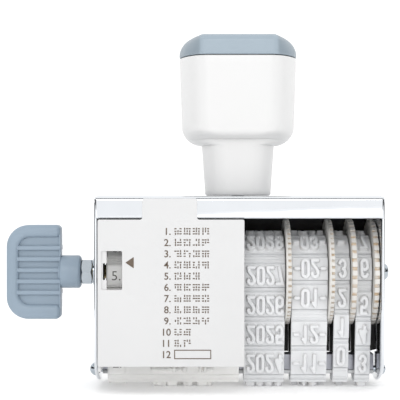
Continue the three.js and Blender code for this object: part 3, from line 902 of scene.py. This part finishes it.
def make_axle():
    head_start = FRAME.right + 0.2
    profile = [
        (AXLE.left, 0.0), (AXLE.left, ROD_RADIUS - 0.3), (AXLE.left + 0.3, ROD_RADIUS),
        (head_start, ROD_RADIUS), (head_start, 0.0),
    ]
    shape = turned(profile, segments=48)
    make_piece("wheel_axle", shape, BRASS, "phrase_drive", "axle_brass", ["axle_rod"])
    radius, dimple = 1.85, 0.55
    dome_start, end = AXLE.right - 1.15, AXLE.right
    profile = [(head_start, 0.0), (head_start, radius - 0.1), (head_start + 0.1, radius)]
    profile += [(dome_start, radius)] + domed(dome_start, 1.05, radius, dimple, 9)
    profile += [(end - 0.1, dimple), (end - 0.28, 0.4), (end - 0.3, 0.0)]
    make_piece("axle_head", turned(profile, segments=48), STEEL, "phrase_drive", "zinc_steel")


KNOB_HALF_HEIGHT = 10.27
KNOB_HALF_DEPTH = 2.7
KNOB_LOW = AXIS_Z - KNOB_HALF_HEIGHT
KNOB_HIGH = AXIS_Z + KNOB_HALF_HEIGHT
KNOB_RIGHT = MIDDLE_X - 38.7
KNOB_RIM = 2.7
KNOB_FOOT_RIM = 3.2
KNOB_EDGE = 1.0
KNOB_RIB_SHIFT = 0.4
KNOB_RIBS = 5
KNOB_RIB_PITCH = 2.43
COLLAR_RADIUS = 3.6


def make_knob():
    """A horseshoe rim round a thin web, ribs across the web, and the collar on the axle."""
    half, right = KNOB_HALF_DEPTH, KNOB_RIGHT
    front, back = AXIS_Y - half, AXIS_Y + half
    recess_left = KNOB.left + KNOB_RIM
    recess_low, recess_high = KNOB_LOW + KNOB_FOOT_RIM, KNOB_HIGH - KNOB_RIM
    end, inner, outer = KNOB_EDGE + 0.05, 2.5, 4.8
    rim = rounded([
        (right, KNOB_LOW, end), (right, recess_low, end), (recess_left, recess_low, inner),
        (recess_left, recess_high, inner), (right, recess_high, end), (right, KNOB_HIGH, end),
        (KNOB.left, KNOB_HIGH, outer), (KNOB.left, KNOB_LOW, outer),
    ], 12)
    shape = plate_facing_y([rim], front, back, KNOB_EDGE)
    inset, web_right = 0.6, right - 0.2
    web_left, web_low, web_high = KNOB.left + inset, KNOB_LOW + inset, KNOB_HIGH - inset
    web = rounded([
        (web_left, web_low, 4.3), (web_right, web_low, 0.5),
        (web_right, web_high, 0.5), (web_left, web_high, 4.3),
    ], 12)
    shape.joined(plate_facing_y([web], front + 1, back - 1, 0.1))
    lip = rectangle(right - 0.3, right - 0.02, recess_low - 0.8, recess_high + 0.8)
    shape.joined(plate_facing_y([lip], front + 0.5, back - 0.5, 0.08))
    for i in range(KNOB_RIBS):
        z = AXIS_Z + (i - (KNOB_RIBS - 1) / 2) * KNOB_RIB_PITCH + KNOB_RIB_SHIFT
        section = rectangle(front + 0.25, back - 0.25, z - 0.5, z + 0.5, 0.3)
        shape.joined(plate_facing_x([section], KNOB.left + KNOB_RIM / 2, right + 0.05, 0.12))
    collar_end, radius, bore = KNOB.right, COLLAR_RADIUS, ROD_RADIUS + 0.12
    shape.joined(turned([
        (right - 0.5, bore), (right - 0.5, radius - 1.2), (right, radius - 0.9), (right, radius - 0.2),
        (right + 0.2, radius), (collar_end - 0.6, radius), (collar_end - 0.35, radius - 0.08),
        (collar_end - 0.05, radius - 0.45), (collar_end, radius - 0.6), (collar_end, bore),
    ]))
    make_piece("thumb_knob", shape, KNOB_BLUE, "phrase_drive", "knob_grey_blue", ["knob"], 40)


def make_nut():
    """A hexagonal nut with turned chamfers at both ends."""
    box = Box("knob_nut")
    corner_radius = (box.top - box.bottom) / 2
    flat_radius = corner_radius * math.cos(math.pi / 6)
    chamfer_radius = flat_radius * 0.96
    slope = math.tan(math.radians(28))
    rings = []
    steps = 96
    for step in range(steps):
        angle = 2 * math.pi * step / steps
        reach = flat_radius / math.cos((angle + math.pi / 6) % (math.pi / 3) - math.pi / 6)
        cut = (reach - chamfer_radius) * slope + 0.04
        profile = [
            (box.left, ROD_RADIUS + 0.35), (box.left, chamfer_radius - 0.05), (box.left + cut, reach),
            (box.right - cut, reach), (box.right, chamfer_radius - 0.05), (box.right, ROD_RADIUS + 0.35),
            (box.right - 0.25, ROD_RADIUS + 0.05), (box.left + 0.25, ROD_RADIUS + 0.05),
        ]
        rings.append(spoke(profile, RIGHT_ANGLE - angle))
    make_piece("hex_nut", skin(rings, wrap=True), STEEL, "phrase_drive", "zinc_steel", ["knob_nut"], 25)


def make_washer():
    box = Box("knob_washer")
    radius = (box.top - box.bottom) / 2
    profile = [
        (box.left, ROD_RADIUS + 0.15), (box.left, radius - 0.12), (box.left + 0.1, radius),
        (box.right - 0.06, radius), (box.right, radius - 0.06), (box.right, ROD_RADIUS + 0.15),
    ]
    make_piece("flat_washer", turned(profile), STEEL, "phrase_drive", "zinc_steel", ["knob_washer"])


# ---------------- rear shield and platen

def make_rear_shield():
    """A thin black sheet with a fold under the top plate, put behind the bands as painted shade for the dark
    inside of the frame.
    """
    sheet, cut, overlap = 0.3, 0.05, 0.27
    back, top = SHIELD.back, SHIELD.top
    section = rounded([
        (back, SHIELD.bottom, cut), (back, top, 0.45), (SHIELD.front, top, cut),
        (SHIELD.front, top - sheet, cut), (back - sheet, top - sheet, 0.15),
        (back - sheet, SHIELD.bottom, cut),
    ], 5)
    shape = plate_facing_x([section], SHIELD.left - overlap, SHIELD.right + overlap, 0.04)
    make_piece("shade_shield", shape, SHADE_SHEET_BLACK, "stamp_body", "shield_black", ["rear_shield"])


def make_platen():
    groove_front, groove_back, groove_top = AXIS_Y - 1.35, AXIS_Y + 1.35, BAR.bottom + 1.8
    channel = rounded([
        (BAR.front, BAR.bottom, 0.12), (groove_front, BAR.bottom, 0.12), (groove_front, groove_top, 0.2),
        (groove_back, groove_top, 0.2), (groove_back, BAR.bottom, 0.12), (BAR.back, BAR.bottom, 0.12),
        (BAR.back, BAR.top, 0.3), (BAR.front, BAR.top, 0.3),
    ], 5)
    shape = plate_facing_x([channel], BAR.left, BAR.right, 0.1)
    make_piece("bar_channel", shape, BAR_STEEL, "stamp_body", "chrome_plate", ["platen_bar"])

    foot_top, tongue_front, tongue_back = NOSE.bottom + 0.85, AXIS_Y - 1.2, AXIS_Y + 1.2
    section = rounded([
        (NOSE.front, NOSE.bottom, 0.35), (NOSE.back, NOSE.bottom, 0.35), (NOSE.back, foot_top, 0.15),
        (tongue_back, foot_top, 0.05), (tongue_back, NOSE.top, 0.2), (tongue_front, NOSE.top, 0.2),
        (tongue_front, foot_top, 0.05), (NOSE.front, foot_top, 0.15),
    ], 5)
    shape = plate_facing_x([section], NOSE.left, NOSE.right, 0.1)
    make_piece("nose_strip", shape, NOSE_WHITE, "stamp_body", "nose_white", ["platen_nose"])

    for side, outer in (("left", -1), ("right", 1)):
        box = Box(f"platen_rivet_{side}")
        z = (box.bottom + box.top) / 2
        radius = (box.top - box.bottom) / 2
        reach, inner = (box.right, box.left) if outer > 0 else (-box.left, -box.right)
        plate_face = outer * MIDDLE_X + (FRAME.right - FRAME.left) / 2 + 0.1
        dome = plate_face + 0.08
        profile = [(inner, 0.0), (inner, 0.7), (plate_face, 0.7), (plate_face, radius - 0.08)]
        profile += [(dome, radius)] + domed(dome, reach - dome, radius, 0.0, 10) + [(reach, 0.0)]
        shape = turned([(outer * x, r) for x, r in profile], z, 40)
        make_piece(f"rivet_{side}", shape, STEEL, "stamp_body", "zinc_steel", [f"platen_rivet_{side}"])


# ---------------- thumb wheels

DISC_RADIUS = 11.5
DISC_THICKNESS = 1.12
DISC_INSET = 0.05
TOOTH = 0.45
HUB_RADIUS = 5.8
FINE_TEETH = 54
COARSE_TEETH = 39
# Each step round one tooth: its share of the pitch, and 1 on the tooth or 0 in the gap after it.
TOOTH_STEPS = ((0.0, 0), (0.05, 1), (0.33, 1), (0.62, 1), (0.67, 0), (0.84, 0))


def make_wheel(name, teeth, rim_share):
    """A thumb disc with a hub; the left rim_share of its rim is a plain flange."""
    box = Box(f"{name}_wheel")
    right = box.right - DISC_INSET
    left = right - DISC_THICKNESS
    notch = left + rim_share * DISC_THICKNESS
    bore, hub, face = ROD_RADIUS + 0.12, HUB_RADIUS, DISC_RADIUS - 2.2
    roll, dish = 0.1, 0.12
    floor_points = (11, 12, 13)    # the profile's points between the teeth that face outwards
    rings, gaps = [], []
    for tooth in range(teeth):
        for share, stands in TOOTH_STEPS:
            outer = DISC_RADIUS if stands else DISC_RADIUS - TOOTH
            flange = DISC_RADIUS if rim_share else outer
            profile = [
                (box.left, bore), (box.left, hub - 0.1), (box.left + 0.1, hub), (left, hub),
                (left + dish, hub + 0.1), (left + dish, face), (left, face + 0.15), (left, flange - roll),
                (left + roll * 0.3, flange - roll * 0.3), (left + roll, flange), (notch - 0.01, flange),
                (notch + 0.01, outer), ((notch + right) / 2, outer), (right - roll, outer),
                (right - roll * 0.3, outer - roll * 0.3), (right, outer - roll), (right, face + 0.15),
                (right - dish, face), (right - dish, hub), (right, hub - 0.3), (right, bore),
            ]
            rings.append(spoke(profile, 2 * math.pi * (tooth + share) / teeth))
            gaps += [1.0 if i in floor_points and not stands else 0.0 for i in range(len(profile))]
    shape, node = skin(rings, wrap=True), f"{name}_wheel"
    wheel = make_piece(f"{name}_disc", shape, CREAM, f"{name}_drive", "wheel_cream", [node])
    paint(wheel, "gap", gaps)


def make_phrase_wheel():
    """The core that the phrase band runs on: a plain land at each end and ribs between them."""
    box = Box("phrase_wheel")
    bore = ROD_RADIUS + 0.12
    radius = (box.top - box.bottom) / 2
    rings = []
    ribs = 24
    steps = 4 * ribs
    for step in range(steps):
        drum = radius - (0.35 if step % 4 in (0, 1) else 0.0)
        profile = [
            (box.left, bore), (box.left, radius - 0.15), (box.left + 0.15, radius), (box.left + 1.4, radius),
            (box.left + 1.45, drum), (box.right - 1.45, drum), (box.right - 1.4, radius),
            (box.right - 0.15, radius), (box.right, radius - 0.15), (box.right, bore),
        ]
        rings.append(spoke(profile, 2 * math.pi * step / steps))
    shape = skin(rings, wrap=True)
    make_piece("phrase_drum", shape, CREAM, "phrase_drive", "wheel_cream", ["phrase_wheel"])


# ---------------- bands

WHEEL_RADIUS = 7.6
BAND_THICKNESS = 1.15
BAND_OVERHANG = 0.13
PLATEN_HALF = 2.1
PLATEN_CORNER = 1.3
BAND_BOTTOM = 1.4
PLATEAU = 0.48
RELIEF = 0.92
MEASURED_AT = 1.2
CELLS = 12
FIRST_CELL = 8.6
CELL_PITCH = 6.5
SEAM = 1.6
PLATEAU_LENGTH = 5.4
CHARACTER_HEIGHT = 4.35
DIGIT_PITCH = 2.03
DIGIT_WIDTH = 2.0
NOTCH_AT = 2.86
NOTCH_HALF = 0.12
NOTCH_DEPTH = 0.26
STROKE_TOP = 0.3
STROKE_FOOT = 0.5
STROKE = 0.78
INDEX_X = MIDDLE_X - 26.25
INDEX_PAD = 0.3
# Distances along a loop are measured MEASURED_AT outside the base's face, which BAND_BOTTOM is the foot of.
# The seams come after this many cells, going up the front from the printing cell.
CELLS_TO_SEAM = {"phrase": 6, "year": 4, "month": 2, "tens": 0, "units": 3}


class Loop:
    """The line a band follows: under the platen, up the front, over the wheel and down the back."""

    def __init__(self):
        self.corner_z = BAND_BOTTOM + PLATEN_CORNER
        rise = AXIS_Z - self.corner_z
        span = math.hypot(PLATEN_HALF, rise)
        step = WHEEL_RADIUS - PLATEN_CORNER
        self.droop = math.asin(step / span) - math.atan2(PLATEN_HALF, rise)
        self.corner_radius = PLATEN_CORNER + MEASURED_AT
        self.wheel_radius = WHEEL_RADIUS + MEASURED_AT
        self.straight_start = PLATEN_HALF + self.corner_radius * (RIGHT_ANGLE - self.droop)
        self.wheel_start = self.straight_start + math.sqrt(span ** 2 - step ** 2)
        self.half = self.wheel_start + self.wheel_radius * (RIGHT_ANGLE + self.droop)
        self.length = 2 * self.half

    def front_line(self, s):
        """The (y, z) of the base's face at distance s up the front, and the direction out of it."""
        if s <= PLATEN_HALF:
            return -s, BAND_BOTTOM, 0.0, -1.0
        if s <= self.straight_start:
            angle = (s - PLATEN_HALF) / self.corner_radius - RIGHT_ANGLE
        elif s <= self.wheel_start:
            angle = -self.droop
        else:
            angle = (s - self.wheel_start) / self.wheel_radius - self.droop
        out_y, out_z = -math.cos(angle), math.sin(angle)
        if s <= self.wheel_start:
            along = max(0.0, s - self.straight_start)
            y = -PLATEN_HALF + PLATEN_CORNER * out_y - along * math.sin(self.droop)
            return y, self.corner_z + PLATEN_CORNER * out_z + along * math.cos(self.droop), out_y, out_z
        return WHEEL_RADIUS * out_y, AXIS_Z + WHEEL_RADIUS * out_z, out_y, out_z

    def wrapped(self, s):
        """The distance from the middle of the bottom, front positive, for any s."""
        return (s + self.half) % self.length - self.half

    def line(self, s):
        near = self.wrapped(s)
        y, z, out_y, out_z = self.front_line(abs(near))
        side = -1 if near < 0 else 1
        return AXIS_Y + side * y, z, side * out_y, out_z


LOOP = Loop()


def bow(cx, cy, rx, ry, start, end, steps=10):
    """Points along part of an ellipse, between two angles in degrees."""
    angles = [math.radians(start + (end - start) * i / steps) for i in range(steps + 1)]
    return [(cx + rx * math.cos(angle), cy + ry * math.sin(angle)) for angle in angles]


# Strokes of each sign on a square from -1 to 1; ends and corners come out round.
END = 0.36
SIGNS = {
    "0": [bow(0, 1 - END, 1, END, 180, 0) + bow(0, END - 1, 1, END, 360, 180) + [(-1, 1 - END)]],
    "1": [[(-0.6, 0.58), (0.2, 1), (0.2, -1)]],
    "2": [
        bow(0, 1 - END, 1, END, 195, 0) + [(0.96, 0.42), (0.7, 0.12), (-0.75, -0.55), (-0.95, -1), (1, -1)],
    ],
    "3": [bow(0, 0.53, 0.95, 0.47, 165, -80) + bow(0, -0.48, 1, 0.52, 80, -165)],
    "4": [[(0.4, -1), (0.4, 1), (-1, -0.42), (1, -0.42)]],
    "5": [[(0.85, 1), (-0.82, 1), (-0.9, 0.14)] + bow(0, -0.36, 1, 0.64, 130, -160)],
    "6": [
        bow(0, 1 - END, 1, END, 10, 180) + bow(0, END - 1, 1, END, 180, 360) + bow(0, -0.22, 1, END, 0, 180),
    ],
    "7": [[(-1, 1), (1, 1), (0.3, 0.1), (-0.2, -1)]],
    "8": [bow(0, 0.53, 0.9, 0.47, 0, 360, 20), bow(0, -0.48, 1, 0.52, 0, 360, 20)],
    "9": [
        bow(0, END - 1, 1, END, 190, 360) + bow(0, 1 - END, 1, END, 0, 180) + bow(0, 0.22, 1, END, 180, 360),
    ],
    "-": [[(-0.75, 0), (0.75, 0)]],
}


def ramp(value, high_at, low_at):
    """1 up to high_at, falling smoothly to 0 at low_at."""
    t = np.clip((low_at - value) / (low_at - high_at), 0, 1)
    return t * t * (3 - 2 * t)


def distance_to(strokes, x, y):
    nearest = np.full(np.broadcast(x, y).shape, np.inf)
    for stroke in strokes:
        for (x0, y0), (x1, y1) in zip(stroke, stroke[1:]):
            along_x, along_y = x1 - x0, y1 - y0
            t = ((x - x0) * along_x + (y - y0) * along_y) / (along_x ** 2 + along_y ** 2)
            t = np.clip(t, 0, 1)
            nearest = np.minimum(nearest, np.hypot(x - x0 - t * along_x, y - y0 - t * along_y))
    return nearest


def cell_centres(name):
    """Distances along the loop of the middle of each cell."""
    centres = [0.0]
    for i in range(1, CELLS):
        seam = SEAM if i > CELLS_TO_SEAM[name] else 0.0
        centres.append(FIRST_CELL + (i - 1) * CELL_PITCH + seam)
    return centres


def placed(sign, x, width=DIGIT_WIDTH):
    """A sign's strokes at x, in millimetres; raised characters are upside down up the front."""
    half_width = (width - STROKE) / 2
    half_height = (CHARACTER_HEIGHT - STROKE) / 2
    return [[(x + u * half_width, -v * half_height) for u, v in stroke] for stroke in SIGNS[sign]]


def digit_row(text, middle):
    first = middle - (len(text) - 1) / 2 * DIGIT_PITCH
    return [stroke for i, sign in enumerate(text) for stroke in placed(sign, first + i * DIGIT_PITCH)]


def year_cell(i, middle):
    return digit_row(str(2035 if i == 0 else 2023 + i), middle)


def month_cell(i, middle):
    strokes = digit_row(f"{(i + 9) % 12 + 1:02d}", middle)
    for side in (-1, 1):
        strokes += placed("-", middle + side * 2.8, width=1.7)
    return strokes


def tens_cell(i, middle):
    return digit_row("-0123-0123-0"[i], middle)


def units_cell(i, middle):
    return digit_row("23456789-01-"[i], middle)


def phrase_cell(i, middle):
    """A neutral phrase of separate ticks."""
    random = np.random.default_rng(100 + i)
    strokes = []
    sign, step, reach = 3.3, 1.15, 0.3
    for character in range(4):
        left = middle + (character - 1.5) * sign
        for column, row, flat in ticks(random, 0.15):
            x, y = left + column * step * 0.9, row * 1.15 * step
            across, up = (reach, 0) if flat else (0, reach)
            strokes.append([(x - across, y - up), (x + across, y + up)])
    return strokes


def band_distances(name, fine):
    """Distances along the loop where a band has a row of points: fine over the cells and the seam."""
    reach = PLATEAU_LENGTH / 2 + 0.25
    rows = []
    for centre in cell_centres(name):
        rows += list(np.arange(centre - reach, centre + reach, fine))
        for boundary in (centre - NOTCH_AT, centre + NOTCH_AT):
            rows += list(boundary + np.linspace(-0.3, 0.3, 16))
    rows += [line + step for line in seam_lines(name) for step in (-0.12, -0.06, 0, 0.06, 0.12)]
    rows = sorted(row % LOOP.length for row in rows)
    filled = []
    for here, after in zip(rows, rows[1:] + [rows[0] + LOOP.length]):
        pieces = max(1, math.ceil((after - here) / 0.3))
        filled += [here + (after - here) * i / pieces for i in range(pieces)]
    return np.array([row for row, before in zip(filled, [-1] + filled) if row - before > 0.02])


def seam_lines(name):
    """Where the joint's three fine lines run."""
    centres = cell_centres(name)
    last = CELLS_TO_SEAM[name]
    start = centres[last] + PLATEAU_LENGTH / 2
    end = centres[last + 1] - PLATEAU_LENGTH / 2
    return np.array([start + (end - start) * share for share in (0.2, 0.5, 0.8)])


def make_band(name, cell, middle, fine, padded=False):
    """A band: its plateaus, grooves, seam and raised characters as one closed skin round the loop.

    cell(i, middle) gives the strokes of a cell; a padded band also has the pads of the index numbers.
    """
    box = Box(f"{name}_band")
    box.right += 0.0 if padded else BAND_OVERHANG
    s = band_distances(name, fine)
    x = np.linspace(box.left, box.right, round((box.right - box.left) / fine) + 1)
    edge = np.minimum(x - box.left, box.right - x)
    lift = np.zeros((len(s), len(x)))
    relief = np.zeros_like(lift)
    flat_end, groove_start = PLATEAU_LENGTH / 2 - 0.1, PLATEAU_LENGTH / 2 + 0.08
    for i, centre in enumerate(cell_centres(name)):
        offset = LOOP.wrapped(s - centre)
        near = np.abs(offset) < PLATEAU_LENGTH
        lift[near] += PLATEAU * ramp(np.abs(offset[near]), flat_end, groove_start)[:, None]
        for notch, depth in ((-NOTCH_AT, NOTCH_DEPTH), (NOTCH_AT, NOTCH_DEPTH * 0.6)):
            lift[near] -= depth * ramp(np.abs(offset[near] - notch), NOTCH_HALF * 0.4, NOTCH_HALF)[:, None]
        strokes = cell(i, middle)
        rows = np.abs(offset) < CHARACTER_HEIGHT / 2 + 0.4
        distance = distance_to(strokes, x[None, :], offset[rows][:, None])
        relief[rows] = np.maximum(relief[rows], ramp(distance, STROKE_TOP, STROKE_FOOT))
        if padded:
            across = ramp(np.abs(x - INDEX_X), 1.75, 1.95)[None, :]
            along = ramp(np.abs(offset), 2.25, 2.45)[:, None]
            lift += INDEX_PAD * across * along
    lift += RELIEF * relief
    for line in seam_lines(name):
        lift -= 0.1 * ramp(np.abs(LOOP.wrapped(s - line)), 0.02, 0.11)[:, None]
    lift -= 0.06 * ramp(edge, 0.0, 0.1)[None, :]
    # Ink on the characters' flanks, plus painted shade: the left flanks take more of the ink colour, as if
    # lit from the right.
    shaded_left_flank = np.clip(np.gradient(relief, axis=1) * 6, 0, 1)
    ink_and_shade_flank = 4 * relief * (1 - relief) * (0.35 + 0.65 * shaded_left_flank)

    inner_edge = (box.right, box.right - 0.05, box.left + 0.05, box.left)
    rings, ink_and_shade_flanks, insides = [], [], []
    for row, distance in enumerate(s):
        y, z, out_y, out_z = LOOP.line(distance)
        ring = [(px, y + out_y * up, z + out_z * up) for px, up in zip(x, lift[row])]
        inner_y, inner_z = y - out_y * BAND_THICKNESS, z - out_z * BAND_THICKNESS
        rings.append(ring + [(px, inner_y, inner_z) for px in inner_edge])
        ink_and_shade_flanks += list(ink_and_shade_flank[row]) + [0.0] * len(inner_edge)
        insides += [0.0] * len(x) + [0.0, 1.0, 1.0, 0.0]
    # The phrase band, the padded one, takes the paler rubber that is painted light.
    slot, look = "band_rubber", LIT_PHRASE_RUBBER if padded else RUBBER
    band = make_piece(f"{name}_loop", skin(rings, wrap=True), look, "stamp_body", slot, [f"{name}_band"], 60)
    paint(band, "ink_and_shade_flank", ink_and_shade_flanks)
    paint(band, "inside", insides)


def make_index_numbers():
    """The upright printed numbers on the phrase band, one in each cell's index pad."""
    print_shape = Shape()
    for i, centre in enumerate(cell_centres("phrase")):
        number = number_outlines(f"{i + 1}.", INDEX_X + 1.15, -1.05, 2.1, -0.02)

        def on_band(u, v, w, centre=centre):
            y, z, out_y, out_z = LOOP.line(centre + v)
            up = PLATEAU + INDEX_PAD + w
            return u, y + out_y * up, z + out_z * up

        print_shape.joined(number.moved(on_band))
    make_piece("index_numbers", print_shape, INDEX_INK, "stamp_body", "band_rubber")


def make_bands():
    fine = 0.1
    make_band("phrase", phrase_cell, MIDDLE_X - 12.2, 0.25, padded=True)
    make_band("year", year_cell, MIDDLE_X + 5.67, fine)
    make_band("month", month_cell, MIDDLE_X + 15.2, fine)
    make_band("tens", tens_cell, MIDDLE_X + 22.05, fine)
    make_band("units", units_cell, MIDDLE_X + 26.75, fine)


# ---------------- the whole scene

make_camera()
make_studio()
make_frame()
make_handle()
make_handle_cap()
make_front_cover()
make_legend()
make_axle()
make_knob()
make_nut()
make_washer()
make_rear_shield()
make_platen()
make_wheel("year", FINE_TEETH, 0.34)
make_wheel("month", FINE_TEETH, 0.34)
make_wheel("tens", COARSE_TEETH, 0.0)
make_wheel("units", COARSE_TEETH, 0.0)
make_phrase_wheel()
make_bands()
make_index_numbers()

for node in ("handle_screw", "handle_washer"):
    for material_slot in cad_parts[node].material_slots:
        material_slot.material = STEEL

boxes = {"cad": CAD_BOUNDS, "visual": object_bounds()}
{name: [list(corner) for corner in box] for name, box in boxes.items()}
